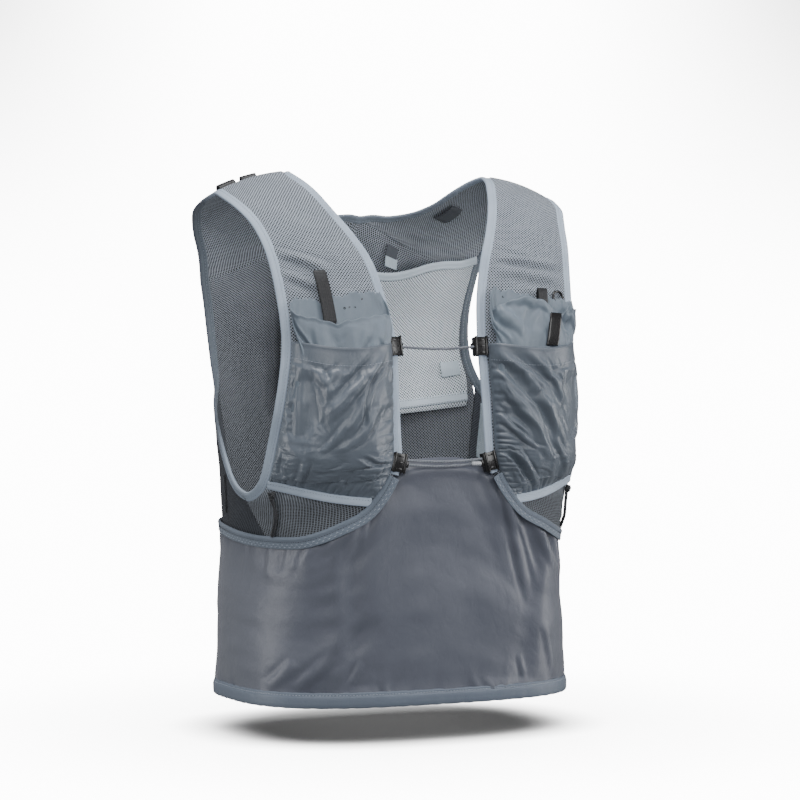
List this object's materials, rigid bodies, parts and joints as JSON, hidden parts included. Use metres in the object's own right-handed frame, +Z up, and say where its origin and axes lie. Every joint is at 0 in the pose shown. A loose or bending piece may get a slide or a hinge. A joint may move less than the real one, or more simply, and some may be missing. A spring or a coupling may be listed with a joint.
{
  "type": "running hydration vest",
  "caption": "Sleeveless running hydration vest in its worn shape, with mesh straps and back, gathered chest pockets, chest cords on rail clips and a smooth lower wrap with a hem band.",
  "frame": {"origin": "midway between the shoulders, at the height where the straps rest beside the neck", "axes": "+X to the wearer's left, -Y to the front of the vest, +Z up"},
  "size_m": [0.3722, 0.2725, 0.5154],
  "materials": {
    "mesh": "open knit mesh, matt",
    "cloth": "thin woven nylon with a faint sheen",
    "edging": "knitted elastic binding tape",
    "liner": "thin gathered nylon",
    "cordage": "braided elastic cord",
    "black_cord": "braided cord, matt black",
    "dark_webbing": "dark woven webbing",
    "tag_cloth": "plain woven label cloth, blank",
    "fitting": "black moulded plastic, glossy",
    "cord_tip": "pale shrink sleeve"
  },
  "bodies": {
    "root": {"front_wing_right": "mesh", "front_wing_left": "mesh", "side_panel_right": "mesh", "side_panel_left": "mesh", "back_panel": "mesh", "back_sleeve": "mesh", "armhole_binding_right": "edging", "armhole_binding_left": "edging", "neck_binding": "edging", "wrap_binding": "edging", "pocket_binding_right": "edging", "pocket_binding_left": "edging", "back_sleeve_binding": "edging", "back_sleeve_foot_band": "edging", "tag_lower": "edging", "wrap": "cloth", "hem_band": "cloth", "pocket_right": "cloth", "pocket_left": "cloth", "pocket_sleeve_right": "liner", "pocket_sleeve_left": "liner", "side_tab": "liner", "side_strap": "liner", "upper_clip_right": "fitting", "upper_clip_left": "fitting", "lower_clip_right": "fitting", "lower_clip_left": "fitting", "shoulder_tab_outer": "dark_webbing", "shoulder_tab_inner": "dark_webbing", "pocket_ring": "fitting", "pocket_pull": "dark_webbing", "flask_tab_right": "dark_webbing", "flask_tab_left": "dark_webbing", "upper_cord": "cordage", "lower_cord_upper_strand": "cordage", "lower_cord_lower_strand": "cordage", "cord_end_sleeve": "cord_tip", "shoulder_loop": "tag_cloth", "tag_upper": "tag_cloth", "side_cord_right": "black_cord", "side_cord_left": "black_cord", "side_knot_right": "black_cord", "side_knot_left": "black_cord", "side_lace": "black_cord"}
  },
  "joints": []
}
